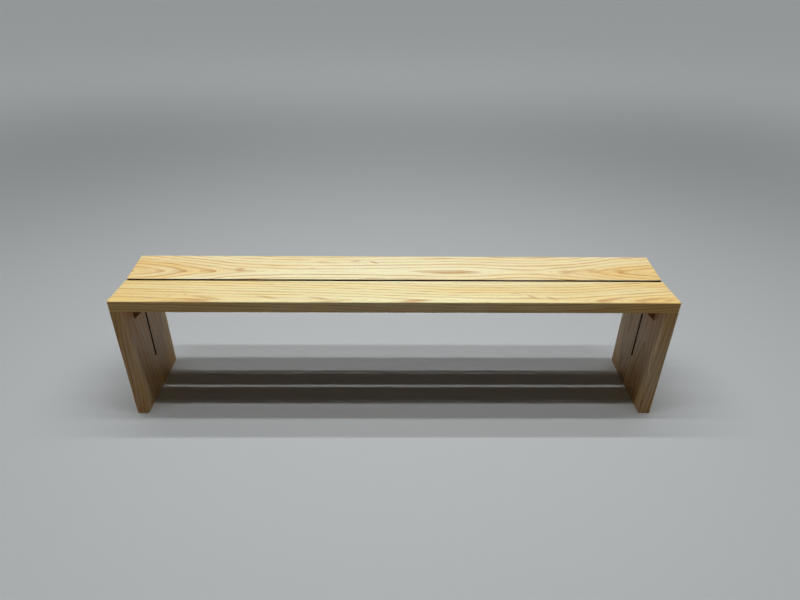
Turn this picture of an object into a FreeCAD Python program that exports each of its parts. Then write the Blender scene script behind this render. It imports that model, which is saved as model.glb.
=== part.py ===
import FreeCAD, Part
import os
import Sketcher
from FreeCAD import Vector

# A backless wooden bench: two long seat boards with an open gap between them, on two slab legs.
# X runs along the bench, Y from the front board to the rear board, Z up.
# The origin is on the floor, below the middle of the bench. All sizes are in millimetres.
#
# Each seat board leans a little towards the gap, so the seat is a very shallow V. A board, its corner
# blocks, dowels and screws share one board frame: x along the bench, y down the slope from the outer
# edge, z square to the underside, which is z = 0. The rear frame is the front one turned half a turn.

DIMENSIONS = (
    ("bench_length", 1600, "length of the seat boards and of the whole bench"),
    ("board_width", 135, "level width of one seat board"),
    ("board_gap", 8, "open gap between the seat boards, and the slot in each leg"),
    ("board_thickness", 35, "thickness of the stock that seat boards and legs are cut from"),
    ("seat_height", 408, "height of the outer seat edges above the floor"),
    ("seat_dip", 9, "fall of a seat board from its outer edge to the gap"),
    ("slot_foot", 118, "height above the floor at which the slot in a leg ends"),
    ("edge_round", 3, "rounding of the seat's upper edges and of the legs' upright edges"),
    ("corner_chamfer", 3, "chamfer of the seat boards' upright corners"),
    ("slot_round", 1.5, "rounding of the upright edges along the slot in a leg"),
    ("lower_chamfer", 0.8, "small chamfer of the lower edges of the seat boards and legs"),
    ("block_side", 60, "length of the two square sides of a corner block"),
    ("block_thickness", 22, "thickness of a corner block across the bench"),
    ("block_shift", 9, "distance of a corner block from its board's middle line, towards the gap"),
    ("block_ease", 1, "small chamfer of a corner block's slanting edges"),
    ("glue_fit", 0.1, "glue clearance round a dowel or a tongue"),
    ("glue_relief", 1, "free depth past the ends of a dowel or the edges of a tongue"),
    ("lead_chamfer", 1, "chamfer that leads a dowel into the seat and a tongue into its groove"),
    ("dowel_diameter", 10, "diameter of a seat dowel"),
    ("dowel_cover", 14, "wood left above a dowel hole in a seat board"),
    ("seat_dowel_drop", 40, "length of a seat dowel in the leg"),
    ("seat_dowel_margin", 32, "distance of a seat dowel from the edge of its board"),
    ("tongue_thickness", 10, "thickness of the loose tongue in the joint of a leg"),
    ("tongue_width", 40, "width of the tongue across the joint"),
    ("tongue_margin", 16, "distance of the tongue from the floor and from the slot's end"),
    ("screw_inset", 22, "distance of a block screw from the tip of the block"),
    ("screw_cover", 15, "wood left past a screw's point in a board or leg"),
    ("screw_diameter", 4, "diameter of a screw below its head"),
    ("screw_tip", 3, "length of a screw's point"),
    ("screw_fit", 0.1, "clearance round a screw"),
    ("bore_depth", 7, "depth of a screw's counterbore below the block's slanting face"),
    ("head_diameter", 8, "diameter of a screw's head"),
    ("head_height", 3, "height of a screw's head"),
    ("head_clearance", 0.6, "room round a screw's head in its counterbore"),
)

# Sizes worked out from the driving dimensions.
PITCH = "atan(dims.seat_dip / dims.board_width)"
HALF_DEPTH = "(dims.board_width + dims.board_gap / 2)"
BOARD_SLANT = f"(dims.board_width / cos({PITCH}))"
BLOCK_ROW = f"({BOARD_SLANT} / 2 + dims.block_shift)"
EDGE_LEAN = f"(dims.board_thickness * tan({PITCH}))"
REST_HEIGHT = f"(dims.seat_height - dims.board_thickness / cos({PITCH}))"
LEG_FACE = "(dims.bench_length / 2 - dims.board_thickness)"
LEG_CENTRE = "(dims.bench_length / 2 - dims.board_thickness / 2)"
DOWEL_HOLE = "dims.dowel_diameter + 2 * dims.glue_fit"
SEAT_HOLE_DEPTH = "(dims.board_thickness - dims.dowel_cover)"
SEAT_DOWEL_ROWS = ("dims.seat_dowel_margin", f"{BOARD_SLANT} - dims.seat_dowel_margin")
SCREW_HOLE = "dims.screw_diameter + 2 * dims.screw_fit"
SCREW_BITE = "(dims.board_thickness - dims.screw_cover)"
SCREW_REACH = "(dims.block_side - dims.screw_inset)"
SCREW_LAND = "(dims.screw_inset - dims.bore_depth)"
HEAD_HOLE = "dims.head_diameter + 2 * dims.head_clearance"

NO_SHIFT = "vector(0; 0; 0)"
NO_TURN = "rotation(vector(0; 0; 1); 0)"
HALF_TURN = "rotation(vector(0; 0; 1); 180)"
LEAN = f"rotation(vector(1; 0; 0); -{PITCH})"
BOARD_FRAMES = {
    "front": f"placement(vector(0; -{HALF_DEPTH}; {REST_HEIGHT}); {LEAN})",
    "rear": f"placement(vector(0; {HALF_DEPTH}; {REST_HEIGHT}); {HALF_TURN} * {LEAN})",
}
LEG_PLACES = {"left": f"-{LEG_CENTRE}", "right": LEG_CENTRE}
SIDES = tuple(BOARD_FRAMES)
LEGS = tuple(LEG_PLACES)

NEAR = 1e-6
SKETCH_NORMAL = Vector(0, 0, 1)

document = FreeCAD.newDocument("bench")
sheet = document.addObject("Spreadsheet::Sheet", "dims")
for row, (alias, number, meaning) in enumerate(DIMENSIONS, start=1):
    sheet.set(f"A{row}", meaning)
    sheet.set(f"B{row}", str(number))
    sheet.setAlias(f"B{row}", alias)
document.recompute()


def value(expression):
    """The number, in millimetres or degrees, that an expression over the sheet gives."""
    return float(sheet.evalExpression(expression))


def new_body(label, frame):
    body = document.addObject("PartDesign::Body", label)
    body.Label = label
    body.setExpression("Placement", frame)
    return body


def origin_plane(body, role):
    return next(feature for feature in body.Origin.OriginFeatures if feature.Role == role)


def new_sketch(body, name, role, shift=NO_SHIFT, turn=NO_TURN):
    """A sketch on one of the body's origin planes, shifted and turned in that plane's own axes."""
    sketch = body.newObject("Sketcher::SketchObject", f"{body.Label}_{name}")
    sketch.AttachmentSupport = (origin_plane(body, role), [""])
    sketch.MapMode = "FlatFace"
    sketch.setExpression("AttachmentOffset", f"placement({shift}; {turn})")
    return sketch


def sketch_point(across, up):
    return Vector(value(across), value(up), 0)


def limit(sketch, kind, *target, size):
    """Add a constraint whose size follows an expression."""
    number = sketch.addConstraint(Sketcher.Constraint(kind, *target, value(size)))
    sketch.setExpression(f"Constraints[{number}]", size)


def pin(sketch, geometry, point, across, up):
    """Hold a point of the sketch at the place that two expressions give."""
    for kind, axis, place in (("DistanceX", -2, across), ("DistanceY", -1, up)):
        if place == "0":
            sketch.addConstraint(Sketcher.Constraint("PointOnObject", geometry, point, axis))
        else:
            limit(sketch, kind, -1, 1, geometry, point, size=place)


def draw_outline(sketch, corners):
    """A closed outline of straight lines through the given corners."""
    points = [sketch_point(*corner) for corner in corners]
    count = len(points)
    for index in range(count):
        sketch.addGeometry(Part.LineSegment(points[index], points[(index + 1) % count]))
    for index, corner in enumerate(corners):
        sketch.addConstraint(Sketcher.Constraint("Coincident", index, 2, (index + 1) % count, 1))
        pin(sketch, index, 1, *corner)


def draw_circles(sketch, centres, diameter):
    for centre in centres:
        ring = Part.Circle(sketch_point(*centre), SKETCH_NORMAL, value(diameter) / 2)
        circle = sketch.addGeometry(ring)
        limit(sketch, "Diameter", circle, size=diameter)
        pin(sketch, circle, 3, *centre)


def pad_sketch(body, sketch, length, both_ways=False):
    pad = body.newObject("PartDesign::Pad", f"{sketch.Name}_pad")
    pad.Profile = sketch
    pad.Midplane = both_ways
    pad.setExpression("Length", length)
    document.recompute()


def cut_sketch(body, sketch, depth=None, along_normal=False, both_ways=False):
    """Cut the sketch into the body, to a depth or right through, and check that wood was removed."""
    before = body.Shape.Volume
    cut = body.newObject("PartDesign::Pocket", f"{sketch.Name}_cut")
    cut.Profile = sketch
    cut.Reversed = along_normal
    cut.Midplane = both_ways
    if depth is None:
        cut.Type = "ThroughAll"
    else:
        cut.setExpression("Length", depth)
    document.recompute()
    if body.Shape.Volume > before - NEAR:
        raise RuntimeError(f"{cut.Name} removed nothing")


def edge_names(feature, wanted):
    return [f"Edge{number}" for number, edge in enumerate(feature.Shape.Edges, start=1) if wanted(edge)]


def round_edges(body, name, radius, wanted):
    """Round the edges of the body's newest feature that the test picks."""
    base = body.Tip
    fillet = body.newObject("PartDesign::Fillet", f"{body.Label}_{name}")
    fillet.Base = (base, edge_names(base, wanted))
    fillet.setExpression("Radius", radius)
    document.recompute()


def chamfer_edges(body, name, size, wanted):
    """Chamfer the edges of the body's newest feature that the test picks."""
    base = body.Tip
    chamfer = body.newObject("PartDesign::Chamfer", f"{body.Label}_{name}")
    chamfer.Base = (base, edge_names(base, wanted))
    chamfer.setExpression("Size", size)
    document.recompute()


def ends(edge):
    return [vertex.Point for vertex in edge.Vertexes]


def lies_low(edge):
    return all(point.z < NEAR for point in ends(edge))


def lies_high(edge):
    return all(point.z > NEAR for point in ends(edge))


def is_upright(edge):
    first, last = ends(edge)
    return abs(first.z - last.z) > NEAR


def seat_board(side):
    """One seat board. Its outer edge and its gap edge are upright although the board leans."""
    body = new_body(f"seat_board_{side}", BOARD_FRAMES[side])
    section = new_sketch(body, "section", "YZ_Plane")
    draw_outline(section, (
        ("0", "0"),
        (BOARD_SLANT, "0"),
        (f"{BOARD_SLANT} - {EDGE_LEAN}", "dims.board_thickness"),
        (f"-{EDGE_LEAN}", "dims.board_thickness"),
    ))
    pad_sketch(body, section, "dims.bench_length", both_ways=True)
    chamfer_edges(body, "corners", "dims.corner_chamfer", is_upright)
    round_edges(body, "upper_edges", "dims.edge_round", lies_high)
    chamfer_edges(body, "lower_edges", "dims.lower_chamfer", lies_low)

    dowel_holes = new_sketch(body, "dowel_holes", "XY_Plane")
    draw_circles(dowel_holes, seat_dowel_places(), DOWEL_HOLE)
    cut_sketch(body, dowel_holes, SEAT_HOLE_DEPTH, along_normal=True)

    screw_holes = new_sketch(body, "screw_holes", "XY_Plane")
    from_middle = f"({LEG_FACE} - {SCREW_REACH})"
    draw_circles(screw_holes, [(f"{end}{from_middle}", BLOCK_ROW) for end in ("-", "")], SCREW_HOLE)
    cut_sketch(body, screw_holes, f"{SCREW_BITE} + dims.screw_fit", along_normal=True)
    return body


def seat_dowel_places():
    return [(place, row) for place in LEG_PLACES.values() for row in SEAT_DOWEL_ROWS]


def leg_stave(leg, side):
    """Half of a slab leg. Its front and rear staves meet below the slot and carry one board each."""
    if side == "front":
        frame = f"placement(vector({LEG_PLACES[leg]}; -{HALF_DEPTH}; 0); {NO_TURN})"
    else:
        frame = f"placement(vector({LEG_PLACES[leg]}; {HALF_DEPTH}; 0); {HALF_TURN})"
    body = new_body(f"leg_{leg}_{side}_stave", frame)

    profile = new_sketch(body, "profile", "YZ_Plane")
    joint_top = f"{REST_HEIGHT} - {HALF_DEPTH} * tan({PITCH})"
    draw_outline(profile, (("0", "0"), (HALF_DEPTH, "0"), (HALF_DEPTH, joint_top), ("0", REST_HEIGHT)))
    pad_sketch(body, profile, "dims.board_thickness", both_ways=True)
    round_edges(body, "upright_edges", "dims.edge_round", is_outer_upright)
    cut_slot(body)
    joint = value(HALF_DEPTH)
    chamfer_edges(body, "lower_edges", "dims.lower_chamfer",
                  lambda edge: lies_low(edge) and min(point.y for point in ends(edge)) < joint - NEAR)

    seat_holes = new_sketch(body, "seat_dowel_holes", "XY_Plane", f"vector(0; 0; {REST_HEIGHT})", LEAN)
    draw_circles(seat_holes, [("0", row) for row in SEAT_DOWEL_ROWS], DOWEL_HOLE)
    cut_sketch(body, seat_holes, "dims.seat_dowel_drop + dims.glue_relief")

    groove = new_sketch(body, "groove", "XZ_Plane", f"vector(0; 0; -{HALF_DEPTH})")
    draw_outline(groove, tongue_outline("dims.glue_fit"))
    cut_sketch(body, groove, "dims.tongue_width / 2 + dims.glue_relief", along_normal=True)

    inner = "dims.board_thickness / 2" if inward_is_plus_x(leg, side) else "-dims.board_thickness / 2"
    screw_hole = new_sketch(body, "screw_hole", "YZ_Plane", f"vector(0; {REST_HEIGHT}; {inner})",
                            f"rotation(vector(0; 0; 1); -{PITCH})")
    draw_circles(screw_hole, [(BLOCK_ROW, f"-{SCREW_REACH}")], SCREW_HOLE)
    cut_sketch(body, screw_hole, f"{SCREW_BITE} + dims.screw_fit",
               along_normal=not inward_is_plus_x(leg, side))
    return body


def inward_is_plus_x(leg, side):
    """Whether the middle of the bench lies on the +x side, as the piece's own frame sees it."""
    return (leg == "left") == (side == "front")


def is_outer_upright(edge):
    return is_upright(edge) and all(point.y < NEAR for point in ends(edge))


def cut_slot(body):
    """The stopped slot. It is centred on the joint, so each stave gets half of its width."""
    slot = new_sketch(body, "slot", "YZ_Plane")
    near_wall = f"{HALF_DEPTH} - dims.board_gap / 2"
    far_wall = f"{HALF_DEPTH} + dims.board_gap / 2"
    draw_outline(slot, ((near_wall, "dims.slot_foot"), (near_wall, "dims.seat_height"),
                        (far_wall, "dims.seat_height"), (far_wall, "dims.slot_foot")))
    cut_sketch(body, slot, both_ways=True)

    wall = value(near_wall)
    round_edges(body, "slot_edges", "dims.slot_round", lambda edge: is_upright(edge) and all(
        abs(point.y - wall) < NEAR for point in ends(edge)))


def tongue_outline(room):
    """The outline of a leg's tongue in the plane of its joint, grown by the given room all round."""
    across = f"(dims.tongue_thickness / 2 + {room})"
    low = f"dims.tongue_margin - {room}"
    high = f"dims.slot_foot - dims.tongue_margin + {room}"
    return ((f"-{across}", low), (across, low), (across, high), (f"-{across}", high))


def corner_block(leg, side):
    """A triangular block in the inside corner of a leg and a seat board, bored for its two screws."""
    body = new_body(f"corner_block_{leg}_{side}", BOARD_FRAMES[side])
    sign = "" if inward_is_plus_x(leg, side) else "-"
    corner = f"-{LEG_FACE}" if inward_is_plus_x(leg, side) else LEG_FACE
    triangle = new_sketch(body, "triangle", "XZ_Plane", f"vector({corner}; 0; -{BLOCK_ROW})")
    draw_outline(triangle, (("0", "0"), (f"{sign}dims.block_side", "0"), ("0", "-dims.block_side")))
    pad_sketch(body, triangle, "dims.block_thickness", both_ways=True)
    chamfer_edges(body, "slanting_edges", "dims.block_ease", is_slanting)

    for name, depth, diameter in (("hole", "0", SCREW_HOLE), ("bore", SCREW_LAND, HEAD_HOLE)):
        upright = new_sketch(body, f"seat_screw_{name}", "XY_Plane",
                             f"vector({corner}; {BLOCK_ROW}; -{depth})")
        draw_circles(upright, [(f"{sign}{SCREW_REACH}", "0")], diameter)
        cut_sketch(body, upright)
        level = new_sketch(body, f"leg_screw_{name}", "YZ_Plane",
                           f"vector({BLOCK_ROW}; 0; {corner} + {sign}{depth})")
        draw_circles(level, [("0", f"-{SCREW_REACH}")], diameter)
        cut_sketch(body, level, along_normal=inward_is_plus_x(leg, side))
    return body


def is_slanting(edge):
    first, last = ends(edge)
    return abs(first.x - last.x) > NEAR and abs(first.z - last.z) > NEAR


def seat_dowels(side):
    """The dowels of one seat board, two in each of its joints with the legs."""
    body = new_body(f"seat_dowels_{side}", BOARD_FRAMES[side])
    circles = new_sketch(body, "circles", "XY_Plane", "vector(0; 0; -dims.seat_dowel_drop)")
    draw_circles(circles, seat_dowel_places(), "dims.dowel_diameter")
    pad_sketch(body, circles, f"dims.seat_dowel_drop + {SEAT_HOLE_DEPTH} - dims.glue_relief")
    chamfer_edges(body, "upper_rims", "dims.lead_chamfer",
                  lambda edge: edge.isClosed() and lies_high(edge))
    return body


def leg_tongue(leg):
    """The loose tongue, glued into the grooves of one leg's two staves."""
    body = new_body(f"leg_tongue_{leg}", f"placement(vector({LEG_PLACES[leg]}; 0; 0); {NO_TURN})")
    outline = new_sketch(body, "outline", "XZ_Plane")
    draw_outline(outline, tongue_outline("0"))
    pad_sketch(body, outline, "dims.tongue_width", both_ways=True)
    chamfer_edges(body, "edges", "dims.lead_chamfer", is_upright)
    return body


def block_screws(side):
    """The screws of one board's corner blocks: at each end, one goes into the board and one into the leg."""
    body = new_body(f"block_screws_{side}", BOARD_FRAMES[side])
    head_top = f"-({SCREW_LAND} + dims.head_height)"
    head_seat = f"-{SCREW_LAND}"
    stations = ((head_top, "0"), (head_top, "dims.head_diameter / 2"),
                (head_seat, "dims.head_diameter / 2"), (head_seat, "dims.screw_diameter / 2"),
                (f"{SCREW_BITE} - dims.screw_tip", "dims.screw_diameter / 2"), (SCREW_BITE, "0"))

    upright = new_sketch(body, "seat_screw", "XZ_Plane",
                         f"vector(-{LEG_FACE} + {SCREW_REACH}; 0; -{BLOCK_ROW})")
    draw_outline(upright, [(radius, along) for along, radius in stations])
    level = new_sketch(body, "leg_screw", "XZ_Plane",
                       f"vector(-{LEG_FACE}; -{SCREW_REACH}; -{BLOCK_ROW})")
    draw_outline(level, [(f"-({along})", radius) for along, radius in stations])
    for sketch, axis in ((upright, "V_Axis"), (level, "H_Axis")):
        screw = body.newObject("PartDesign::Revolution", f"{sketch.Name}_turned")
        screw.Profile = sketch
        screw.ReferenceAxis = (sketch, [axis])
        document.recompute()

    mirror = body.newObject("PartDesign::Mirrored", f"{body.Label}_other_end")
    mirror.TransformMode = "Whole shape"
    mirror.MirrorPlane = (origin_plane(body, "YZ_Plane"), [""])
    body.Tip = mirror
    document.recompute()
    return body


def check_pieces(pieces):
    """Stop if a feature failed, or if a piece is missing, broken or has the wrong number of solids."""
    document.recompute()
    for item in document.Objects:
        if "Invalid" in item.State or "Error" in item.State:
            raise RuntimeError(f"{item.Label} failed: {item.State}")
    for body, solids in pieces:
        shape = body.Shape
        if shape.isNull() or not shape.isValid() or len(shape.Solids) != solids:
            raise RuntimeError(f"{body.Label} isn't made of {solids} valid solids")


pieces = [(seat_board(side), 1) for side in SIDES]
pieces += [(leg_stave(leg, side), 1) for leg in LEGS for side in SIDES]
pieces += [(corner_block(leg, side), 1) for leg in LEGS for side in SIDES]
pieces += [(seat_dowels(side), 4) for side in SIDES]
pieces += [(leg_tongue(leg), 1) for leg in LEGS]
pieces += [(block_screws(side), 4) for side in SIDES]
check_pieces(pieces)

os.makedirs("parts", exist_ok=True)
for body, solids in pieces:
    body.Shape.exportStep(f"parts/{body.Label}.step")
    print(body.Label, "solids:", solids, "volume in cm3:", round(body.Shape.Volume / 1000, 1))
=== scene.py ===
# %% [markdown]
# # A wooden bench, dressed in Blender
# The bench is two long ash boards with an open gap between them, lying on two slab legs. The CAD model
# already holds every board, block, dowel and screw in its place, so this lesson loads it as a fixed
# frame, gives the wood its grain, adds the fine forms of the fasteners, and sets up floor, light and
# camera.

import math

import bmesh
import bpy
import numpy as np
from mathutils import Matrix, Vector


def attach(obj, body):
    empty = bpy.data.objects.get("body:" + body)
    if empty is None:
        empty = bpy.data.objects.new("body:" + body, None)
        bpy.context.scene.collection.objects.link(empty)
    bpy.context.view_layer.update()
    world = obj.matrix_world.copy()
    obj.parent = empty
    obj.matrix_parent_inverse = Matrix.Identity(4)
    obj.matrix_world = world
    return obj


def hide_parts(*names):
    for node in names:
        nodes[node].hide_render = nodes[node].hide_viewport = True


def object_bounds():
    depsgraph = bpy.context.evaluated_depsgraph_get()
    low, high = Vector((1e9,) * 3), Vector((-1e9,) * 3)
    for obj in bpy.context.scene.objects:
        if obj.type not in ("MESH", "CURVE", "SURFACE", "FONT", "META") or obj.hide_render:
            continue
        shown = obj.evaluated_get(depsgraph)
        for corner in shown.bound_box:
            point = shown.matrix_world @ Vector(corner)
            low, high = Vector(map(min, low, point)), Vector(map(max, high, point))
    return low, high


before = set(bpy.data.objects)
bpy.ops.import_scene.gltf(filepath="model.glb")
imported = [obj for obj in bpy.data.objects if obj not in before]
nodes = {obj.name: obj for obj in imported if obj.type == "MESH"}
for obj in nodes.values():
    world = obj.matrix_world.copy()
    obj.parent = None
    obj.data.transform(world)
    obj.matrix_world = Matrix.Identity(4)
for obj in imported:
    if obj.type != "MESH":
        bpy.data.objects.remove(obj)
cad_low, cad_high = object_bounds()
print("CAD nodes:", len(nodes), "box in metres:", [round(c, 4) for c in cad_high - cad_low])

# %% [markdown]
# ## Three small tools: colours, nodes and trees
# A colour picked from a screen is sRGB, while Blender's sockets hold linear light. One function turns
# the usual hex value into linear numbers. A second one adds any node, shader or geometry, with its
# settings, and fills each input with a value or a link, so that a node tree reads as a list of what it
# does. Inputs are named or counted. A Map Range node counts its value as 0, the two ends of the range
# that comes in as 1 and 2, and those of the range that goes out as 3 and 4. A Mix node has a pair of
# inputs for every kind of data, and its colours are 6 and 7. A third function starts a tree of its own
# with named sockets.

# %% Colour and node helpers
def linear(hex_colour):
    """An sRGB hex colour as the linear RGBA that a socket holds, by the curve of the sRGB standard."""
    channels = [int(hex_colour[i:i + 2], 16) / 255 for i in (1, 3, 5)]
    return [c / 12.92 if c <= 0.04045 else ((c + 0.055) / 1.055) ** 2.4 for c in channels] + [1.0]


def add_node(tree, kind, inputs=(), **settings):
    """Adds one node. Settings are its own properties. An input takes a value, the socket to link from,
    or a node, which stands for the first output that it shows."""
    node = tree.nodes.new(kind)
    for name, value in settings.items():
        setattr(node, name, value)
    for key, value in dict(inputs).items():
        if isinstance(value, bpy.types.Node):
            value = next(socket for socket in value.outputs if socket.enabled)
        if isinstance(value, bpy.types.NodeSocket):
            tree.links.new(value, node.inputs[key])
        else:
            node.inputs[key].default_value = value
    return node


def new_tree(name, kind, inputs, outputs):
    """Starts a node group with named sockets, and returns it with the sockets that bring inputs in."""
    tree = bpy.data.node_groups.new(name, kind)
    for in_out, sockets in (("INPUT", inputs), ("OUTPUT", outputs)):
        for socket, data in sockets.items():
            tree.interface.new_socket(name=socket, in_out=in_out, socket_type="NodeSocket" + data)
    return tree, add_node(tree, "NodeGroupInput").outputs


print("lacquered ash in linear light:", [round(c, 3) for c in linear("#E9CE9B")])

# %% [markdown]
# ## The growth rings of ash
# A board is a slice through a trunk, so its figure is where the saw met the growth rings. An image of
# wood would look pasted on at the ends and edges. Here the rings are a solid pattern instead: a number
# for every point in the board that grows by one from ring to ring. Top, edge and end grain then belong
# together by themselves. In a board sawn beside the heart the rings lie as flat arches, one over the
# other, so the number rises with the height in the board and with the distance from the crown, the line
# where the arches peak. A slow shift along the board, its sway, makes them run out at the top as the
# pointed figure of flat-sawn wood. Wide patches of noise let the rings wander by a few millimetres.

# %% The ring pattern as a node group
RISE_ACROSS, RISE_UP, CROWN_ROUND = 0.38, 0.6, 0.005
WANDER, WANDER_SIZE = 0.0022, (0.260, 0.045, 0.045)


def patches(tree, point, size, detail=2, roughness=0.5):
    """Noise in patches of a real size, in metres along X, Y and Z."""
    scaled = add_node(tree, "ShaderNodeVectorMath", {0: point, 1: size}, operation="DIVIDE")
    return add_node(tree, "ShaderNodeTexNoise", {"Vector": scaled, "Scale": 1, "Detail": detail,
                                                 "Roughness": roughness})


rings, given = new_tree(
    "growth rings of ash", "ShaderNodeTree",
    {"Board point": "Vector", "Sway": "Float", "Pale share": "Float", "Ring spacing": "Float"},
    {"Colour": "Color", "Roughness": "Float", "Height": "Float"})
board_point = given["Board point"]
across = add_node(rings, "ShaderNodeVectorMath", {
    0: board_point, 1: (0, RISE_ACROSS, 0), 2: (0, 0, CROWN_ROUND)}, operation="MULTIPLY_ADD")
across = add_node(rings, "ShaderNodeVectorMath", {0: across}, operation="LENGTH")
height = add_node(rings, "ShaderNodeSeparateXYZ", {0: board_point}).outputs["Z"]
arch = add_node(rings, "ShaderNodeMath", {0: height, 1: RISE_UP, 2: across}, operation="MULTIPLY_ADD")
wander = patches(rings, board_point, WANDER_SIZE, detail=3, roughness=0.6)
shift = add_node(rings, "ShaderNodeMapRange", {0: wander, 3: -WANDER, 4: WANDER}, clamp=False)
swayed = add_node(rings, "ShaderNodeMath", {0: arch, 1: given["Sway"]}, operation="ADD")
depth = add_node(rings, "ShaderNodeMath", {0: swayed, 1: shift}, operation="ADD")
ring = add_node(rings, "ShaderNodeMath", {0: depth, 1: given["Ring spacing"]}, operation="DIVIDE")
print("ring group inputs:", [s.name for s in given if s.name])

# %% [markdown]
# Each ring goes slowly from pale early wood to brown late wood and then starts again, which is why a
# grain line is sharp on one side only. It is drawn from the fraction of the ring number, and every ring
# gets its own strength from a fixed random value, because no two summers are alike. Fainter lines, two
# or three to a ring and unevenly spaced, keep the wide bands from looking blank. Stretched noise lets
# every line fade and come back along the board, so that none of them looks ruled.

# %% Late wood lines
LATE_STARTS, LATE_PEAKS = 0.50, 0.90
FINE_STARTS, FINE_PEAKS = 0.30, 0.85
FINE_PER_RING, FINE_STRENGTH = 2.6, 0.28
UNEVEN_SCALE, UNEVEN_RINGS = 0.7, 1.6
WEAKEST_LINE = 0.65
NOISE_LOW, NOISE_HIGH = 0.3, 0.7
FADE_SIZE, FADED, FULL = (0.110, 0.009, 0.009), 0.45, 1.2


def line_in_ring(ring_number, starts, peaks):
    """A line that rises slowly towards the end of each ring and falls off sharply there."""
    place = add_node(rings, "ShaderNodeMath", {0: ring_number}, operation="FRACT")
    rise = add_node(rings, "ShaderNodeMapRange", {0: place, 1: starts, 2: peaks},
                    interpolation_type="SMOOTHSTEP")
    fall = add_node(rings, "ShaderNodeMapRange", {0: place, 1: peaks, 2: 1, 3: 1, 4: 0},
                    interpolation_type="SMOOTHSTEP")
    year = add_node(rings, "ShaderNodeMath", {0: ring_number}, operation="FLOOR")
    chance = add_node(rings, "ShaderNodeTexWhiteNoise", {"W": year}, noise_dimensions="1D")
    strength = add_node(rings, "ShaderNodeMapRange", {0: chance, 3: WEAKEST_LINE, 4: 1})
    line = add_node(rings, "ShaderNodeMath", {0: rise, 1: fall}, operation="MULTIPLY")
    return add_node(rings, "ShaderNodeMath", {0: line, 1: strength}, operation="MULTIPLY")


late_line = line_in_ring(ring, LATE_STARTS, LATE_PEAKS)
uneven = add_node(rings, "ShaderNodeTexNoise", {"W": ring, "Scale": UNEVEN_SCALE, "Detail": 1},
                  noise_dimensions="1D")
fine_ring = add_node(rings, "ShaderNodeMath", {0: uneven, 1: UNEVEN_RINGS, 2: ring},
                     operation="MULTIPLY_ADD")
fine_ring = add_node(rings, "ShaderNodeMath", {0: fine_ring, 1: FINE_PER_RING}, operation="MULTIPLY")
fine_line = line_in_ring(fine_ring, FINE_STARTS, FINE_PEAKS)
fine_line = add_node(rings, "ShaderNodeMath", {0: fine_line, 1: FINE_STRENGTH}, operation="MULTIPLY")
lines = add_node(rings, "ShaderNodeMath", {0: late_line, 1: fine_line}, operation="MAXIMUM")
fade = patches(rings, board_point, FADE_SIZE, detail=1)
fade = add_node(rings, "ShaderNodeMapRange", {0: fade, 1: NOISE_LOW, 2: NOISE_HIGH, 3: FADED, 4: FULL})
late_wood = add_node(rings, "ShaderNodeMath", {0: lines, 1: fade}, operation="MULTIPLY")
print("late wood nodes:", len(rings.nodes))

# %% [markdown]
# Between the rings run the fibres: streaks about 2 mm wide and 90 mm long here, coarser than the real
# ones so that they show. Ash also has open pores, short dark dashes that the lacquer doesn't quite
# fill. They are really 0.3 mm wide and are drawn 0.8 mm wide. A broad tone lets pale sapwood drift into
# honey heartwood, and good and bad years darken a few rings together.

# %% Fibres, pores and tone
FIBRE_SIZE = (0.090, 0.002, 0.002)
PORE_SIZE, PORE_STARTS, PORE_FULL = (0.012, 0.0008, 0.0008), 0.60, 0.72
TONE_SIZE, TONE_DRIFT = (0.450, 0.060, 0.060), 0.25
YEARS_SCALE, YEARS_DRIFT = 0.45, 0.35
MOST_HEARTWOOD = 0.80
fibres = patches(rings, board_point, FIBRE_SIZE, detail=3)
pore_noise = patches(rings, board_point, PORE_SIZE, detail=1)
tone = patches(rings, board_point, TONE_SIZE)
pore_spots = add_node(rings, "ShaderNodeMapRange", {0: pore_noise, 1: PORE_STARTS, 2: PORE_FULL})
early_wood = add_node(rings, "ShaderNodeMath", {0: 1, 1: late_line}, operation="SUBTRACT")
pores = add_node(rings, "ShaderNodeMath", {0: pore_spots, 1: early_wood}, operation="MULTIPLY")
years = add_node(rings, "ShaderNodeTexNoise", {"W": ring, "Scale": YEARS_SCALE, "Detail": 1},
                 noise_dimensions="1D")
heart = add_node(rings, "ShaderNodeMath", {0: MOST_HEARTWOOD, 1: given["Pale share"]}, operation="SUBTRACT")
for noise, most in ((tone, TONE_DRIFT), (years, YEARS_DRIFT)):
    drift = add_node(rings, "ShaderNodeMapRange", {
        0: noise, 1: NOISE_LOW, 2: NOISE_HIGH, 3: -most, 4: most})
    heart = add_node(rings, "ShaderNodeMath", {0: heart, 1: drift}, operation="ADD", use_clamp=True)
for name, size in (("fibre", FIBRE_SIZE), ("pore", PORE_SIZE), ("tone", TONE_SIZE)):
    print(name, "size in mm:", [round(1000 * c, 1) for c in size])

# %% [markdown]
# Clear lacquer warms ash to a pale straw colour with honey-brown late wood. The colours are mixed from
# the palest to the darkest, the fibres then vary the result by a few percent, and the same masks make
# the pores a little rougher and lower than the wood round them.

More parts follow.
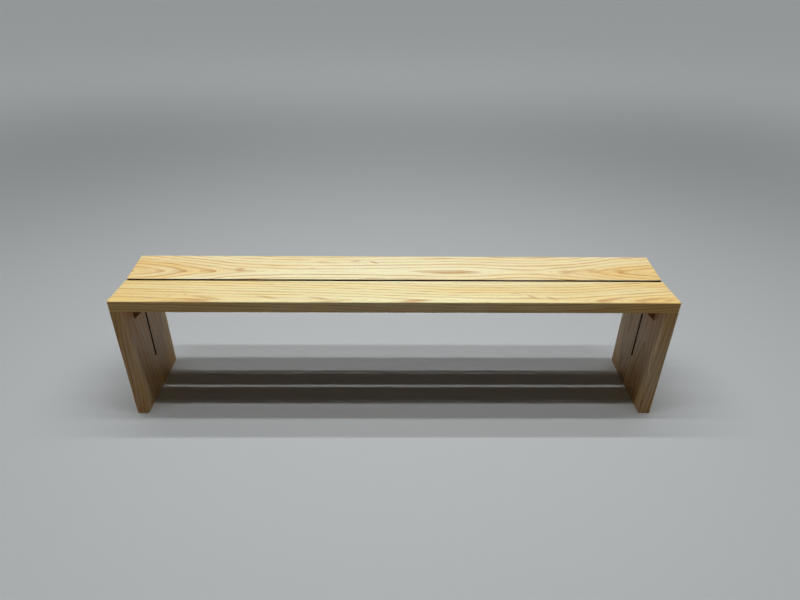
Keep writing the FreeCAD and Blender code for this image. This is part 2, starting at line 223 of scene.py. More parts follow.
# %% Colour, roughness and height of the wood
SAPWOOD, HEARTWOOD = linear("#F8F0C6"), linear("#F2D28D")
LATE_WOOD, LATE_SHARE = linear("#BC8038"), 0.78
PORE, PORE_SHARE = linear("#A27A42"), 0.35
FIBRE_LOW, FIBRE_HIGH = 0.25, 0.75
DIM_FIBRE, BRIGHT_FIBRE = 0.90, 1.08
SMOOTH_FIBRE, ROUGH_FIBRE = 0.40, 0.52
PORE_ROUGHER, PORE_LOWER = 0.15, 0.8
ground = add_node(rings, "ShaderNodeMix", {0: heart, 6: SAPWOOD, 7: HEARTWOOD}, data_type="RGBA")
late_share = add_node(rings, "ShaderNodeMath", {0: late_wood, 1: LATE_SHARE}, operation="MULTIPLY")
figured = add_node(rings, "ShaderNodeMix", {0: late_share, 6: ground, 7: LATE_WOOD}, data_type="RGBA")
pore_share = add_node(rings, "ShaderNodeMath", {0: pores, 1: PORE_SHARE}, operation="MULTIPLY")
pored = add_node(rings, "ShaderNodeMix", {0: pore_share, 6: figured, 7: PORE}, data_type="RGBA")
fibre_light = add_node(rings, "ShaderNodeMapRange", {
    0: fibres, 1: FIBRE_LOW, 2: FIBRE_HIGH, 3: DIM_FIBRE, 4: BRIGHT_FIBRE})
colour = add_node(rings, "ShaderNodeVectorMath", {0: pored, "Scale": fibre_light}, operation="SCALE")
rough = add_node(rings, "ShaderNodeMapRange", {
    0: fibres, 1: FIBRE_LOW, 2: FIBRE_HIGH, 3: SMOOTH_FIBRE, 4: ROUGH_FIBRE})
rough = add_node(rings, "ShaderNodeMath", {0: pores, 1: PORE_ROUGHER, 2: rough}, operation="MULTIPLY_ADD")
sunk = add_node(rings, "ShaderNodeMath", {0: pores, 1: -PORE_LOWER, 2: fibres}, operation="MULTIPLY_ADD")
add_node(rings, "NodeGroupOutput", {"Colour": colour, "Roughness": rough, "Height": sunk})
print("ring group nodes:", len(rings.nodes))

# %% [markdown]
# ## Ash with clear satin lacquer
# Every board comes from another place in the trunk, so each gets a sway of its own. It is drawn as a
# smooth curve through a few points, counted in rings. A Float Curve node holds such a curve on a square
# from 0 to 1, so the points are scaled to that square and the result is scaled back to metres.

# %% The sway of a board
MM = 0.001


def sway_curve(tree, share, sway, reach, spacing):
    """The sway in metres, as a smooth curve through a list of (millimetres along the board, rings)."""
    start, end = reach
    low, high = min(rings_up for _, rings_up in sway), max(rings_up for _, rings_up in sway)
    stops = [((MM * x - start) / (end - start), (rings_up - low) / (high - low)) for x, rings_up in sway]
    curve = add_node(tree, "ShaderNodeFloatCurve", {"Value": share})
    points = curve.mapping.curves[0].points
    for stop in stops[1:-1]:
        points.new(*stop)
    points[0].location, points[len(points) - 1].location = stops[0], stops[-1]
    for point in points:
        point.handle_type = "AUTO_CLAMPED"
    curve.mapping.update()
    return add_node(tree, "ShaderNodeMapRange", {0: curve, 3: low * spacing, 4: high * spacing})


print("sway points are scaled by", MM, "to metres")

# %% [markdown]
# Some marks are stronger than the rings alone would draw: the brown flames, where the top of the board
# runs along one dark ring for a while, and the small streaks that minerals leave. Both are soft oval
# spots at given places. A Mapping node of the texture kind turns an oval of any place, slant and size
# into a ball of radius one, and the distance from the middle of that ball then says how strong the mark
# is.

# %% Flames and streaks
STREAK = linear("#B8641E")
SPOT_DEPTH, SPOT_CORE = 0.020, 0.3


def stain_spots(tree, place, colour, stain, spots):
    """Lays oval spots of a stain over a colour. A spot is its x, y, half length and half width in
    millimetres, its slant in degrees and its strength."""
    for x, y, half_long, half_wide, slant, strength in spots:
        ball = add_node(tree, "ShaderNodeMapping", {
            "Vector": place, "Location": (MM * x, MM * y, cad_high.z),
            "Rotation": (0, 0, math.radians(slant)),
            "Scale": (MM * half_long, MM * half_wide, SPOT_DEPTH)}, vector_type="TEXTURE")
        away = add_node(tree, "ShaderNodeVectorMath", {0: ball}, operation="LENGTH")
        mark = add_node(tree, "ShaderNodeMapRange", {0: away, 1: 1, 2: SPOT_CORE, 3: 0, 4: strength})
        colour = add_node(tree, "ShaderNodeMix", {0: mark, 6: colour, 7: stain}, data_type="RGBA")
    return colour


print("spots reach", round(1000 * SPOT_DEPTH), "mm into the wood")

# %% [markdown]
# The sawn walls of the gap and of the leg slots are hard to reach with brush or cloth: they stay bare,
# rough and without a coat. Their colour is darkened to a near-black brown as painted shade, for the
# shade that falls deep in the narrow gap. A point belongs to them if it lies near the middle plane of
# the bench and above the foot of the slots.

# %% Painted shade in the gap
GAP_WALL, GAP_EDGE, SLOT_FOOT = 0.0043, 0.0062, 0.118
GAP_PAINTED_SHADE, GAP_WALL_ROUGHNESS = linear("#2E1E10"), 1.0


def painted_shade_in_gap(tree, place):
    """Painted shade on the walls of the gap and leg slots: 1 there, 0 elsewhere, between them on the eased
    edges.
    """
    bench = add_node(tree, "ShaderNodeSeparateXYZ", {0: place}).outputs
    off_middle = add_node(tree, "ShaderNodeMath", {0: bench["Y"]}, operation="ABSOLUTE")
    in_gap = add_node(tree, "ShaderNodeMapRange", {0: off_middle, 1: GAP_EDGE, 2: GAP_WALL})
    above_foot = add_node(tree, "ShaderNodeMath", {0: bench["Z"], 1: SLOT_FOOT}, operation="GREATER_THAN")
    return add_node(tree, "ShaderNodeMath", {0: in_gap, 1: above_foot}, operation="MULTIPLY")


print("dust lies up to", round(1000 * GAP_EDGE, 1), "mm from the middle plane")

# %% [markdown]
# A Mapping node turns the grain along the board and moves the crown of its arches to the origin. The
# ends of a board are warmer and more honey-coloured, and its middle is paler. Satin lacquer over wood
# gives two reflections, a soft one from the fibres and a clearer one from the film, so the shader has a
# thin coat over a rougher base.

# %% A lacquered board
LACQUER_COAT, COAT_ROUGHNESS, LACQUER_IOR = 0.12, 0.22, 1.5
FIBRE_SHINE, WOOD_IOR = 0.28, 1.5
PALE_SHARE_AT_END, PALE_SHARE_INSIDE, PALE_SHARE_FULL_AT = 0.05, 0.75, 0.45
GRAIN_BUMP, GRAIN_DEPTH = 0.25, 0.0003
MIDDLE = 0.5


def lacquered_ash(name, turn, crown, sway, reach, spacing, tint="#FFFFFF", flames=(), streaks=()):
    """Ash whose grain runs along X after the turn, over a reach of metres along the grain."""
    material = bpy.data.materials.new(name)
    material.use_nodes = True
    tree = material.node_tree
    tree.nodes.clear()
    place = add_node(tree, "ShaderNodeTexCoord").outputs["Object"]
    board = add_node(tree, "ShaderNodeMapping", {
        "Vector": place, "Rotation": turn, "Location": -Vector(crown)})
    along = add_node(tree, "ShaderNodeSeparateXYZ", {0: board}).outputs["X"]
    start, end = (x - crown[0] for x in reach)
    share = add_node(tree, "ShaderNodeMapRange", {0: along, 1: start, 2: end})
    from_end = add_node(tree, "ShaderNodeMath", {0: share, 1: MIDDLE}, operation="PINGPONG")
    pale_share = add_node(tree, "ShaderNodeMapRange", {
        0: from_end, 1: 0, 2: PALE_SHARE_FULL_AT, 3: PALE_SHARE_AT_END, 4: PALE_SHARE_INSIDE})
    metres = sway_curve(tree, share, sway, reach, spacing)
    wood = add_node(tree, "ShaderNodeGroup", {"Board point": board, "Sway": metres, "Pale share": pale_share,
                                              "Ring spacing": spacing}, node_tree=rings)
    tinted = add_node(tree, "ShaderNodeMix", {0: 1, 6: wood.outputs["Colour"], 7: linear(tint)},
                      data_type="RGBA", blend_type="MULTIPLY")
    flamed = stain_spots(tree, place, tinted, LATE_WOOD, flames)
    streaked = stain_spots(tree, place, flamed, STREAK, streaks)
    # The walls of the gap and of the leg slots are bare and rough, and their colour is a near-black brown:
    # painted shade.
    gap_shade = painted_shade_in_gap(tree, place)
    gap_shaded = add_node(tree, "ShaderNodeMix", {0: gap_shade, 6: streaked, 7: GAP_PAINTED_SHADE}, data_type="RGBA")
    rough = add_node(tree, "ShaderNodeMapRange", {
        0: gap_shade, 3: wood.outputs["Roughness"], 4: GAP_WALL_ROUGHNESS})
    coat = add_node(tree, "ShaderNodeMapRange", {0: gap_shade, 3: LACQUER_COAT, 4: 0})
    bump = add_node(tree, "ShaderNodeBump", {
        "Height": wood.outputs["Height"], "Strength": GRAIN_BUMP, "Distance": GRAIN_DEPTH})
    shader = add_node(tree, "ShaderNodeBsdfPrincipled", {
        "Base Color": gap_shaded, "Roughness": rough, "Normal": bump, "IOR": WOOD_IOR,
        "Specular IOR Level": FIBRE_SHINE, "Coat Weight": coat, "Coat Roughness": COAT_ROUGHNESS,
        "Coat IOR": LACQUER_IOR})
    add_node(tree, "ShaderNodeOutputMaterial", {"Surface": shader})
    return material


def dress(node, material):
    """Gives a CAD node one material."""
    nodes[node].data.materials.clear()
    nodes[node].data.materials.append(material)
    print(node, "is now", material.name)


# %% [markdown]
# ## The seat boards
# In the rear board the crown runs 44 mm inside the gap edge, so whole arches point inwards from both
# ends and close to a brown oval right of the middle. In the front board it runs only 11 mm inside the
# front edge, which cuts the arches off and leaves flame-like tips there and straight grain behind. The
# places of the arches and marks were picked in the photograph, and are given in millimetres on the
# bench.

# %% The figure of the rear board
rear_sway = [(-800, -1.1), (-714, -0.27), (-649, 0.69), (-556, 1.82), (-461, 2.85), (-270, 3.45),
             (82, 2.97), (170, 2.78), (264, 2.97), (390, 3.45), (515, 2.98), (605, 2.1), (688, 0.91),
             (800, -0.1)]
rear_flames = [(-716, 50, 22, 12, 0, 0.30), (-657, 50, 26, 12, 0, 0.35), (-575, 51, 28, 12, 0, 0.35),
               (-474, 56, 22, 15, 0, 0.60), (170, 45, 112, 15, 0, 0.55), (516, 46, 26, 22, 0, 0.38),
               (602, 55, 28, 17, 0, 0.42), (684, 58, 26, 15, 0, 0.40)]
rear_streaks = [(-125, 108, 24, 3, 8, 0.75), (-67, 101, 20, 3.5, -28, 0.9), (-230, 103, 25, 8, 0, 0.25),
                (-256, 65, 16, 4, 0, 0.4), (13, 99, 10, 3, -20, 0.25), (140, 42, 46, 8, -2, 0.35),
                (201, 46, 40, 6, 2, 0.25)]
print("rear board:", len(rear_flames), "flames and", len(rear_streaks), "streaks")

# %% The figure of the front board
front_sway = [(-800, 0.5), (-636, 0.9), (-483, 1.35), (-300, 1.8), (-123, 2.35), (99, 3.35), (240, 3.78),
              (400, 3.72), (500, 3.62), (569, 3.18), (665, 2.33), (800, 1.22)]
front_flames = [(-527, -116, 62, 10, -14, 0.45), (-362, -111, 42, 8, -15, 0.45),
                (-214, -117, 44, 9, -16, 0.50), (56, -128, 46, 8, 5, 0.45), (388, -105, 25, 8, -40, 0.50),
                (441, -113, 24, 8, -38, 0.50), (594, -125, 56, 9, 12, 0.45), (714, -121, 66, 9, 14, 0.40),
                (769, -125, 30, 10, 15, 0.35)]
front_streaks = [(-640, -106, 11, 5, 0, 0.3), (-597, -97, 6, 3, 0, 0.55), (343, -83, 24, 3, 4, 0.55),
                 (161, -98, 30, 3, 2, 0.3)]
print("front board:", len(front_flames), "flames and", len(front_streaks), "streaks")

# %% [markdown]
# Both boards lean about four degrees towards the gap, so the grain is turned by the same angle. The
# crown's place is given across the bench, and in rings below the top of the board.

# %% Seat board materials
SEAT_DIP, BOARD_WIDTH, RING_SPACING = 0.009, 0.135, 0.006
lean = math.atan(SEAT_DIP / BOARD_WIDTH)
half_length = cad_high.x
seat_top = cad_high.z
seat_cuts = [("rear", 0.048, 2.08, -lean, rear_sway, "#FFFFFF", rear_flames, rear_streaks),
             ("front", -0.128, 2.35, lean, front_sway, "#FFFEF2", front_flames, front_streaks)]
for side, crown_y, rings_down, turn, sway, tint, flames, streaks in seat_cuts:
    top_there = Matrix.Rotation(turn, 3, "X") @ Vector((0, crown_y, seat_top - SEAT_DIP / 2))
    crown = top_there - Vector((0, 0, rings_down * RING_SPACING))
    ash = lacquered_ash(f"flat-sawn ash, clear satin lacquer, {side} board", (turn, 0, 0), crown, sway,
                        (-half_length, half_length), RING_SPACING, tint, flames, streaks)
    dress(f"seat_board_{side}", ash)

# %% [markdown]
# ## The slab legs
# Each leg is glued up from two upright staves, so the grain runs up and down. Turning the pattern a
# quarter turn about Y lays the board's length along Z. The four staves get different places in the
# trunk, or the repeat would show at the glue joint below the slot.

# %% Leg materials
QUARTER = math.pi / 2
LEG_TINT, LEG_RING_SPACING = "#EADFD6", 0.0075
BOARD_THICK = 0.035
leg_height = seat_top - BOARD_THICK
# For each stave, the crown in metres after the quarter turn, and the sway.
stave_cuts = {
    "leg_left_front_stave": ((0.10, -0.105, 0.790), [(0, 0), (110, 0.9), (240, 1.3), (373, 2.4)]),
    "leg_left_rear_stave": ((0.55, 0.090, 0.785), [(0, 1.6), (130, 1.0), (260, 0.4), (373, 0)]),
    "leg_right_front_stave": ((0.20, -0.060, -0.788), [(0, 0), (120, 0.6), (230, 1.5), (373, 2.1)]),
    "leg_right_rear_stave": ((0.70, 0.065, -0.792), [(0, 2.2), (140, 1.2), (250, 0.8), (373, 0)]),
}
for stave, (crown, sway) in stave_cuts.items():
    ash = lacquered_ash("ash, clear satin lacquer, " + stave.replace("_", " "), (0, QUARTER, 0), crown,
                        sway, (0, leg_height), LEG_RING_SPACING, LEG_TINT)
    dress(stave, ash)

# %% [markdown]
# ## The corner blocks
# A triangular block is glued and screwed into each corner under the seat. A maker cuts it with the
# grain along its long sloping side, where it is strongest. The pattern turns by 45 degrees, one way at
# the left end and the other way at the right. The blocks are stained brown, and a stain is a
# see-through film, so its colour multiplies the wood's.

# %% Corner block materials
BLOCK_STAIN, BLOCK_RING_SPACING = "#8E7058", 0.005
BLOCK_CROWN_ALONG, BLOCK_CROWN_OUT = 0.1, 0.75
BLOCK_SWAY, BLOCK_REACH = [(-100, 0), (0, 0.5), (400, 2)], (-0.8, 0.8)
for leg, way in (("left", 1), ("right", -1)):
    for side, crown_y in (("front", -0.110), ("rear", 0.030)):
        block = f"corner_block_{leg}_{side}"
        crown = (BLOCK_CROWN_ALONG, crown_y, way * BLOCK_CROWN_OUT)
        ash = lacquered_ash("ash, brown stain, satin lacquer, " + block.replace("_", " "),
                            (0, way * QUARTER / 2, 0), crown, BLOCK_SWAY, BLOCK_REACH, BLOCK_RING_SPACING,
                            BLOCK_STAIN)
        dress(block, ash)

# %% [markdown]
# ## Beech for the hidden joints
# Dowels and tongues are beech, a dense wood without an open grain, turned or planed and left bare. To
# the eye it is an even pinkish tan with short dark flecks, the rays. The flecks are 2 mm long and are
# drawn as small stretched spots of noise. Bare wood has no film on it, so there is no coat and the
# roughness is high.

# %% Bare beech
FLECK_SIZE, FLECK_STARTS, FLECK_FULL = (0.0006, 0.0006, 0.0020), 0.58, 0.70
BEECH_SHADE_SIZE = (0.004, 0.004, 0.030)
BEECH_PALE, BEECH_DEEP, BEECH_FLECK = linear("#D3B08A"), linear("#BE9469"), linear("#96683F")
BEECH_SMOOTH, BEECH_ROUGH = 0.60, 0.75
beech = bpy.data.materials.new("steamed beech, bare")
beech.use_nodes = True
tree = beech.node_tree
place = add_node(tree, "ShaderNodeTexCoord").outputs["Object"]
fleck_noise = patches(tree, place, FLECK_SIZE)
shade_noise = patches(tree, place, BEECH_SHADE_SIZE)
flecks = add_node(tree, "ShaderNodeMapRange", {0: fleck_noise, 1: FLECK_STARTS, 2: FLECK_FULL})
shade = add_node(tree, "ShaderNodeMix", {0: shade_noise, 6: BEECH_PALE, 7: BEECH_DEEP}, data_type="RGBA")
flecked = add_node(tree, "ShaderNodeMix", {0: flecks, 6: shade, 7: BEECH_FLECK}, data_type="RGBA")
dull = add_node(tree, "ShaderNodeMapRange", {0: shade_noise, 3: BEECH_SMOOTH, 4: BEECH_ROUGH})
shader = tree.nodes["Principled BSDF"]
tree.links.new(flecked.outputs[2], shader.inputs["Base Color"])
tree.links.new(dull.outputs[0], shader.inputs["Roughness"])
for leg in ("left", "right"):
    dress(f"leg_tongue_{leg}", beech)

# %% [markdown]
# ## Where the round pieces stand
# Dowels and screws are groups of equal solids in the CAD model, and their places are in the frame
# already. A merged copy of a group's mesh is split into its solids. The longest direction of a solid is
# its axis, and for a screw the axis points to the end with the widest corners, its head.

# %% The solids of a node
SAME_POINT = 1e-6


def solids_of(node):
    """The corner points of every separate solid in a CAD node."""
    copy = bmesh.new()
    copy.from_mesh(nodes[node].data)
    bmesh.ops.remove_doubles(copy, verts=copy.verts, dist=SAME_POINT)
    done, solids = set(), []
    for first in copy.verts:
        stack, found = [first], []
        while stack:
            corner = stack.pop()
            if corner in done:
                continue
            done.add(corner)
            found.append(corner.co.copy())
            stack.extend(edge.other_vert(corner) for edge in corner.link_edges)
        if found:
            solids.append(np.array(found))
    copy.free()
    return solids


print("solids in seat_dowels_front:", len(solids_of("seat_dowels_front")))

# %% Places and axes of the round solids
WIDEST = 0.99


def round_places(node):
    """An object with a point at the thick end of each round solid and its axis there, and the length."""
    places, axes = [], []
    for corners in solids_of(node):
        middle = corners.mean(0)
        axis = np.linalg.svd(corners - middle)[2][0]
        # The sign of such an axis is left to chance, so its largest part is made positive.
        axis *= np.sign(axis[np.abs(axis).argmax()])
        along = (corners - middle) @ axis
        width = np.linalg.norm(corners - middle - np.outer(along, axis), axis=1)
        if along[width > WIDEST * width.max()].mean() < -SAME_POINT:
            axis, along = -axis, -along
        places.append(middle + axis * along.max())
        axes.append(axis)
    mesh = bpy.data.meshes.new(node + "_points")
    mesh.from_pydata(places, [], [])
    mesh.attributes.new("axis", "FLOAT_VECTOR", "POINT").data.foreach_set("vector", np.array(axes).ravel())
    holder = bpy.data.objects.new(node + "_places", mesh)
    bpy.context.scene.collection.objects.link(holder)
    length = float(along.max() - along.min())
    print(node, "holds", len(places), "solids,", round(1000 * length, 1), "mm long")
    return holder, length


# %% [markdown]
# ## Fluted dowels
# A bought dowel has flutes along its length that let glue and air escape, and both ends are tapered so
# that it starts easily. A star-shaped outline drawn along a line gives the flutes, and the line's
# radius, which shrinks at both ends, gives the tapers. Geometry Nodes copies the one dowel to every
# place and turns it to its axis. The screws are made in the same two moves, so both moves are
# functions.

# %% Two moves for round pieces
def turn_body(tree, start, end, steps, radius, outline):
    """Draws an outline along a straight line, scales it by the radius on the way, and closes both ends."""
    line = add_node(tree, "GeometryNodeCurvePrimitiveLine", {"Start": start, "End": end})
    line = add_node(tree, "GeometryNodeResampleCurve", {"Curve": line, "Count": steps})
    line = add_node(tree, "GeometryNodeSetCurveRadius", {"Curve": line, "Radius": radius})
    return add_node(tree, "GeometryNodeCurveToMesh", {
        "Curve": line, "Profile Curve": outline, "Fill Caps": True})


def copy_to_places(tree, places, shape, material):
    """Copies a shape to every point, turns its Z to the axis there, and gives the copies a material."""
    axis = add_node(tree, "GeometryNodeInputNamedAttribute", {"Name": "axis"}, data_type="FLOAT_VECTOR")
    turned = add_node(tree, "FunctionNodeAlignRotationToVector", {"Vector": axis}, axis="Z")
    copies = add_node(tree, "GeometryNodeInstanceOnPoints", {
        "Points": places, "Instance": shape, "Rotation": turned})
    real = add_node(tree, "GeometryNodeRealizeInstances", {"Geometry": copies})
    return add_node(tree, "GeometryNodeSetMaterial", {"Geometry": real, "Material": material})


# %% The dowel tree
DOWEL_STEPS, TAPER_SHARE, TAPERED_END = 41, 0.05, 0.78
CREST_SHARE, VALLEY_SHARE = 0.5, 0.46
dowel_tree, asked = new_tree(
    "fluted dowels", "GeometryNodeTree",
    {"Places": "Geometry", "Length": "Float", "Diameter": "Float", "Flutes": "Int", "Wood": "Material"},
    {"Dowels": "Geometry"})
down = add_node(dowel_tree, "ShaderNodeMath", {0: asked["Length"], 1: -1}, operation="MULTIPLY")
foot = add_node(dowel_tree, "ShaderNodeCombineXYZ", {"Z": down})
along = add_node(dowel_tree, "GeometryNodeSplineParameter").outputs["Factor"]
from_end = add_node(dowel_tree, "ShaderNodeMath", {0: along, 1: MIDDLE}, operation="PINGPONG")
taper = add_node(dowel_tree, "ShaderNodeMapRange", {
    0: from_end, 1: 0, 2: TAPER_SHARE, 3: TAPERED_END, 4: 1})
crest = add_node(dowel_tree, "ShaderNodeMath", {0: asked["Diameter"], 1: CREST_SHARE},
                 operation="MULTIPLY")
valley = add_node(dowel_tree, "ShaderNodeMath", {0: asked["Diameter"], 1: VALLEY_SHARE},
                  operation="MULTIPLY")
star = add_node(dowel_tree, "GeometryNodeCurveStar", {
    "Points": asked["Flutes"], "Inner Radius": valley, "Outer Radius": crest})
dowel = turn_body(dowel_tree, foot, (0, 0, 0), DOWEL_STEPS, taper, star)
wooden = copy_to_places(dowel_tree, asked["Places"], dowel, asked["Wood"])
add_node(dowel_tree, "NodeGroupOutput", {"Dowels": wooden})
print("dowel tree nodes:", len(dowel_tree.nodes))

# %% [markdown]
# The tree runs as a modifier on the points. Its inputs are set by their identifiers, the evaluated
# result is kept as a plain mesh on an object of its own, and the points are removed.

# %% Make the dowels
def run_tree(tree, holder, piece_name, settings):
    """Runs a node tree on a holder of points and returns the result as a plain mesh object."""
    modifier = holder.modifiers.new("tree", "NODES")
    modifier.node_group = tree
    sockets = {item.name: item.identifier for item in tree.interface.items_tree if item.in_out == "INPUT"}
    for name, value in settings.items():
        modifier[sockets[name]] = value
    seen = holder.evaluated_get(bpy.context.evaluated_depsgraph_get())
    mesh = bpy.data.meshes.new_from_object(seen)
    mesh.name = piece_name
    bpy.data.objects.remove(holder)
    piece = bpy.data.objects.new(piece_name, mesh)
    bpy.context.scene.collection.objects.link(piece)
    print(piece_name, "has", len(mesh.polygons), "faces")
    return piece


DOWEL_DIAMETER, DOWEL_FLUTES = 0.010, 18
for side in ("front", "rear"):
    holder, length = round_places(f"seat_dowels_{side}")
    dowels = run_tree(dowel_tree, holder, f"fluted_dowels_{side}",
                      {"Length": length, "Diameter": DOWEL_DIAMETER, "Flutes": DOWEL_FLUTES, "Wood": beech})
    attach(dowels, "root")
    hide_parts(f"seat_dowels_{side}")

# %% [markdown]
# ## Zinc-plated screws
# Steel screws get a thin zinc plating against rust. It is a light grey metal with a faint yellow cast,
# and the crystals of the plating make it cloudy, so the gloss changes in patches about 1 mm across.

# %% Zinc-plated steel
ZINC_CLOUD_SIZE = (0.001, 0.001, 0.001)
ZINC_PALE, ZINC_DEEP = linear("#C9C7BE"), linear("#A9A9A6")
ZINC_SMOOTH, ZINC_ROUGH = 0.22, 0.42
zinc = bpy.data.materials.new("zinc-plated steel")
zinc.use_nodes = True
tree = zinc.node_tree
place = add_node(tree, "ShaderNodeTexCoord").outputs["Object"]
cloud = patches(tree, place, ZINC_CLOUD_SIZE, detail=3)
plating = add_node(tree, "ShaderNodeMix", {0: cloud, 6: ZINC_PALE, 7: ZINC_DEEP}, data_type="RGBA")
gloss = add_node(tree, "ShaderNodeMapRange", {
    0: cloud, 1: NOISE_LOW, 2: NOISE_HIGH, 3: ZINC_SMOOTH, 4: ZINC_ROUGH})
shader = tree.nodes["Principled BSDF"]
shader.inputs["Metallic"].default_value = 1.0
tree.links.new(plating.outputs[2], shader.inputs["Base Color"])
tree.links.new(gloss.outputs[0], shader.inputs["Roughness"])
print("zinc cloud size in mm:", 1000 * ZINC_CLOUD_SIZE[0])

# %% [markdown]
# A pan-head wood screw is a body of revolution with a thread round it and a cross recess in its head. A
# line with a changing radius gives the turned head and core, a spiral with a small triangle drawn along
# it gives the thread, and two crossed blocks cut the recess. The screw hangs below its head, with the
# top of the head at the origin, and is placed as the dowels are. Its sizes are inputs of the tree, in
# metres.

# %% The screw head
SCREW_SIZES = {"Head height": 0.003, "Head radius": 0.0039, "Recess width": 0.0046, "Recess slot": 0.0011,
               "Recess depth": 0.0016, "Core radius": 0.0014, "Point length": 0.003,
               "Thread radius": 0.0019, "Thread pitch": 0.0018, "Thread flank": 0.00035}
DOME_STEPS, DOME_POWER, DOME_TOP, RIM_SIDES = 9, 3, 0.30, 40
screw_tree, asked = new_tree(
    "pan-head screws", "GeometryNodeTree",
    {"Places": "Geometry", "Length": "Float", "Metal": "Material", **dict.fromkeys(SCREW_SIZES, "Float")},
    {"Screws": "Geometry"})
head_down = add_node(screw_tree, "ShaderNodeMath", {0: asked["Head height"], 1: -1}, operation="MULTIPLY")
under_head = add_node(screw_tree, "ShaderNodeCombineXYZ", {"Z": head_down})
along = add_node(screw_tree, "GeometryNodeSplineParameter").outputs["Factor"]
dome = add_node(screw_tree, "ShaderNodeMath", {0: along, 1: DOME_POWER}, operation="POWER")
dome = add_node(screw_tree, "ShaderNodeMapRange", {0: dome, 3: 1, 4: DOME_TOP})
dome = add_node(screw_tree, "ShaderNodeMath", {0: dome}, operation="SQRT")
rim = add_node(screw_tree, "GeometryNodeCurvePrimitiveCircle", {
    "Resolution": RIM_SIDES, "Radius": asked["Head radius"]})
head = turn_body(screw_tree, under_head, (0, 0, 0), DOME_STEPS, dome, rim)
recessed = add_node(screw_tree, "GeometryNodeMeshBoolean", {0: head}, operation="DIFFERENCE")
# Half of each block stands above the head, so it is twice as high as the recess is deep.
wing_height = add_node(screw_tree, "ShaderNodeMath", {0: asked["Recess depth"], 1: 2}, operation="MULTIPLY")
for x, y in (("Recess width", "Recess slot"), ("Recess slot", "Recess width")):
    size = add_node(screw_tree, "ShaderNodeCombineXYZ", {"X": asked[x], "Y": asked[y], "Z": wing_height})
    wing = add_node(screw_tree, "GeometryNodeMeshCube", {"Size": size})
    screw_tree.links.new(wing.outputs["Mesh"], recessed.inputs[1])
print("screw head nodes:", len(screw_tree.nodes))

# %% Core and thread of the screw
CORE_STEPS, CORE_SIDES, BLUNT_TIP = 33, 20, 0.08
TURN_STEPS, RIDGE_SIDES = 20, 3
length_down = add_node(screw_tree, "ShaderNodeMath", {0: asked["Length"], 1: -1}, operation="MULTIPLY")
tip = add_node(screw_tree, "ShaderNodeCombineXYZ", {"Z": length_down})
from_tip = add_node(screw_tree, "ShaderNodeMath", {0: along, 1: asked["Length"]}, operation="MULTIPLY")
pointed = add_node(screw_tree, "ShaderNodeMapRange", {
    0: from_tip, 1: 0, 2: asked["Point length"], 3: BLUNT_TIP, 4: 1})
round_bar = add_node(screw_tree, "GeometryNodeCurvePrimitiveCircle", {
    "Resolution": CORE_SIDES, "Radius": asked["Core radius"]})
shank = turn_body(screw_tree, tip, under_head, CORE_STEPS, pointed, round_bar)
plain = add_node(screw_tree, "ShaderNodeMath", {0: asked["Point length"], 1: 2, 2: asked["Head height"]},
                 operation="MULTIPLY_ADD")
threaded = add_node(screw_tree, "ShaderNodeMath", {0: asked["Length"], 1: plain}, operation="SUBTRACT")
turns = add_node(screw_tree, "ShaderNodeMath", {0: threaded, 1: asked["Thread pitch"]}, operation="DIVIDE")
helix_radius = add_node(screw_tree, "ShaderNodeMath", {0: asked["Thread radius"], 1: asked["Thread flank"]},
                        operation="SUBTRACT")
helix = add_node(screw_tree, "GeometryNodeCurveSpiral", {
    "Resolution": TURN_STEPS, "Rotations": turns, "Start Radius": helix_radius, "End Radius": helix_radius,
    "Height": threaded})
ridge = add_node(screw_tree, "GeometryNodeCurvePrimitiveCircle", {
    "Resolution": RIDGE_SIDES, "Radius": asked["Thread flank"]})
thread = add_node(screw_tree, "GeometryNodeCurveToMesh", {
    "Curve": helix, "Profile Curve": ridge, "Fill Caps": True})
thread_down = add_node(screw_tree, "ShaderNodeMath", {0: asked["Point length"], 1: asked["Length"]},
                       operation="SUBTRACT")
thread_foot = add_node(screw_tree, "ShaderNodeCombineXYZ", {"Z": thread_down})
thread = add_node(screw_tree, "GeometryNodeTransform", {"Geometry": thread, "Translation": thread_foot})
print("screw nodes with core and thread:", len(screw_tree.nodes))

# %% Make the screws
whole = add_node(screw_tree, "GeometryNodeJoinGeometry")
for shape in (thread, shank, recessed):
    screw_tree.links.new(shape.outputs[0], whole.inputs[0])
metal = copy_to_places(screw_tree, asked["Places"], whole, asked["Metal"])
add_node(screw_tree, "NodeGroupOutput", {"Screws": metal})
for side in ("front", "rear"):
    holder, length = round_places(f"block_screws_{side}")
    screws = run_tree(screw_tree, holder, f"pan_head_screws_{side}",
                      {"Length": length, "Metal": zinc, **SCREW_SIZES})
    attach(screws, "root")
    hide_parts(f"block_screws_{side}")

# %% [markdown]
# ## Floor
# A plain pale floor, wide enough to fill the picture, carries the shadow. The eye and the mirror
# reflections see it pale. The light that it scatters back at the bench is that of a darker floor, so
# the upright faces stay in the calm shade that they have under lamps in a wide room.

# %% Floor
FLOOR_PALE, FLOOR_BOUNCE = linear("#C0C4C6"), linear("#76655A")
FLOOR_WIDTH, FLOOR_ROUGHNESS = 40, 0.8


def seen_directly(tree):
    """1 for the rays of the eye, of reflections and of glass, and 0 for scattered light."""
    rays = add_node(tree, "ShaderNodeLightPath").outputs
    seen = rays["Is Camera Ray"]
    for name in ("Is Glossy Ray", "Is Transmission Ray"):
        seen = add_node(tree, "ShaderNodeMath", {0: seen, 1: rays[name]}, operation="ADD", use_clamp=True)
    return seen


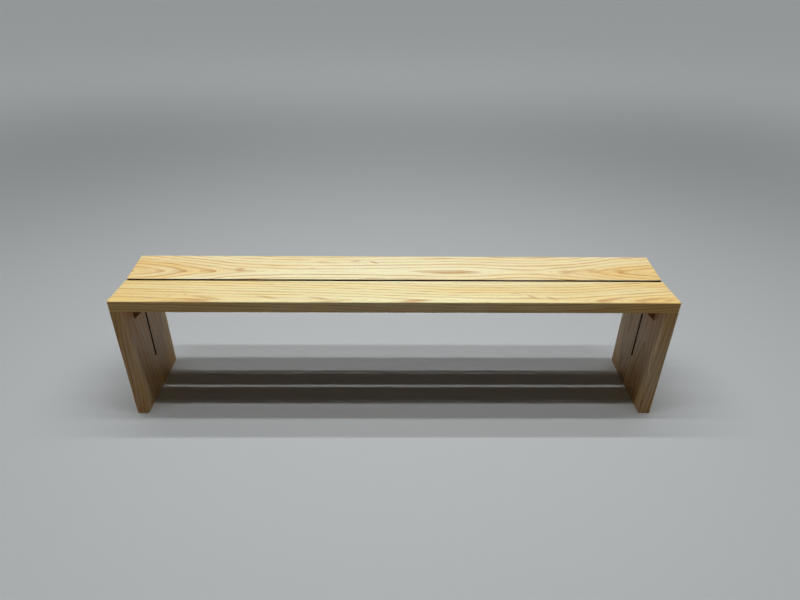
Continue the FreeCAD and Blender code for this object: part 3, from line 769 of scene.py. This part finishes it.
bpy.ops.mesh.primitive_plane_add(size=FLOOR_WIDTH)
floor = bpy.context.object
floor.name = "floor"
paint = bpy.data.materials.new("pale grey floor paint")
paint.use_nodes = True
tree = paint.node_tree
tone = add_node(tree, "ShaderNodeMix", {0: seen_directly(tree), 6: FLOOR_BOUNCE, 7: FLOOR_PALE},
                data_type="RGBA")
tree.links.new(tone.outputs[2], tree.nodes["Principled BSDF"].inputs["Base Color"])
tree.nodes["Principled BSDF"].inputs["Roughness"].default_value = FLOOR_ROUGHNESS
floor.data.materials.append(paint)
print("floor is", floor.dimensions.x, "m wide")

# %% [markdown]
# ## Light
# Three long narrow lamps hang above the bench, parallel to it. Light from straight above makes the seat
# bright, leaves the upright faces to the light that the floor sends back, and draws the gap as a line
# in the shadow. Four wide panels round them shine straight down and light only the far floor. The world
# is a pale backdrop to the eye, and sends hardly any light itself.

# %% Lamps
LAMP_HEIGHT, LAMP_LENGTH, LAMP_WIDTH, LAMP_WATTS = 3.5, 4.0, 0.08, 41
LAMP_ROWS = {"lamp front": -0.53, "lamp middle": 0.05, "lamp rear": 0.67}
PANEL_NEAR, PANEL_FAR, PANEL_WATTS_PER_M2, PANEL_SPREAD = 3.4, 24.0, 1.5, math.radians(70)


def hang_lamp(name, x, y, size_x, size_y, watts, spread=math.pi):
    """Hangs a rectangular lamp that shines down."""
    light = bpy.data.lights.new(name, "AREA")
    light.shape, light.size, light.size_y = "RECTANGLE", size_x, size_y
    light.energy, light.spread = watts, spread
    lamp = bpy.data.objects.new(name, light)
    lamp.location = (x, y, LAMP_HEIGHT)
    bpy.context.scene.collection.objects.link(lamp)


for name, y in LAMP_ROWS.items():
    hang_lamp(name, 0, y, LAMP_LENGTH, LAMP_WIDTH, LAMP_WATTS)
panel_middle, panel_wide = (PANEL_NEAR + PANEL_FAR) / 2, PANEL_FAR - PANEL_NEAR
for name, x, y, size_x, size_y in (("panel rear", 0, panel_middle, 2 * PANEL_FAR, panel_wide),
                                   ("panel front", 0, -panel_middle, 2 * PANEL_FAR, panel_wide),
                                   ("panel right", panel_middle, 0, panel_wide, 2 * PANEL_NEAR),
                                   ("panel left", -panel_middle, 0, panel_wide, 2 * PANEL_NEAR)):
    hang_lamp(name, x, y, size_x, size_y, PANEL_WATTS_PER_M2 * size_x * size_y, PANEL_SPREAD)
print("lamps:", [thing.name for thing in bpy.data.lights])

# %% World
BACKDROP_PALE, ROOM_LIGHT, ROOM_STRENGTH = linear("#B4B8BA"), linear("#E6E4E0"), 0.02
world = bpy.data.worlds.new("pale room")
bpy.context.scene.world = world
world.use_nodes = True
tree = world.node_tree
tree.nodes.clear()
pale = add_node(tree, "ShaderNodeBackground", {"Color": BACKDROP_PALE, "Strength": 1})
dim = add_node(tree, "ShaderNodeBackground", {"Color": ROOM_LIGHT, "Strength": ROOM_STRENGTH})
room = add_node(tree, "ShaderNodeMixShader", {0: seen_directly(tree), 1: dim, 2: pale})
add_node(tree, "ShaderNodeOutputWorld", {"Surface": room})
bpy.context.scene.view_settings.view_transform = "Standard"
print("view transform:", bpy.context.scene.view_settings.view_transform)

# %% [markdown]
# ## Camera
# The camera stands 1.43 m in front of the bench, 1.29 m above the floor, and looks down at its middle.
# Its place and angles were worked out from the bench's own edges in the photograph, for a picture of
# 800 by 600 pixels. A Blender camera looks straight down before it is turned, so it is first rolled
# about its line of sight, then tilted up, turned about the upright axis and moved to its place. The
# angles are in radians.

# %% Camera
SENSOR_MM, LENS_MM, SEES_TO = 36, 27.184, 100
CAMERA_PLACE = (-0.0122, -1.5666, 1.2878)
LOOKS_DOWN, YAW, ROLL = 0.548597, -0.016322, 0.011286
data = bpy.data.cameras.new("camera")
data.sensor_width, data.lens = SENSOR_MM, LENS_MM
data.clip_end = SEES_TO
camera = bpy.data.objects.new("camera", data)
camera.matrix_world = (Matrix.Translation(CAMERA_PLACE) @ Matrix.Rotation(YAW, 4, "Z")
                       @ Matrix.Rotation(QUARTER - LOOKS_DOWN, 4, "X") @ Matrix.Rotation(ROLL, 4, "Z"))
bpy.context.scene.collection.objects.link(camera)
bpy.context.scene.camera = camera
print("camera looks down by", round(math.degrees(LOOKS_DOWN), 1), "degrees")
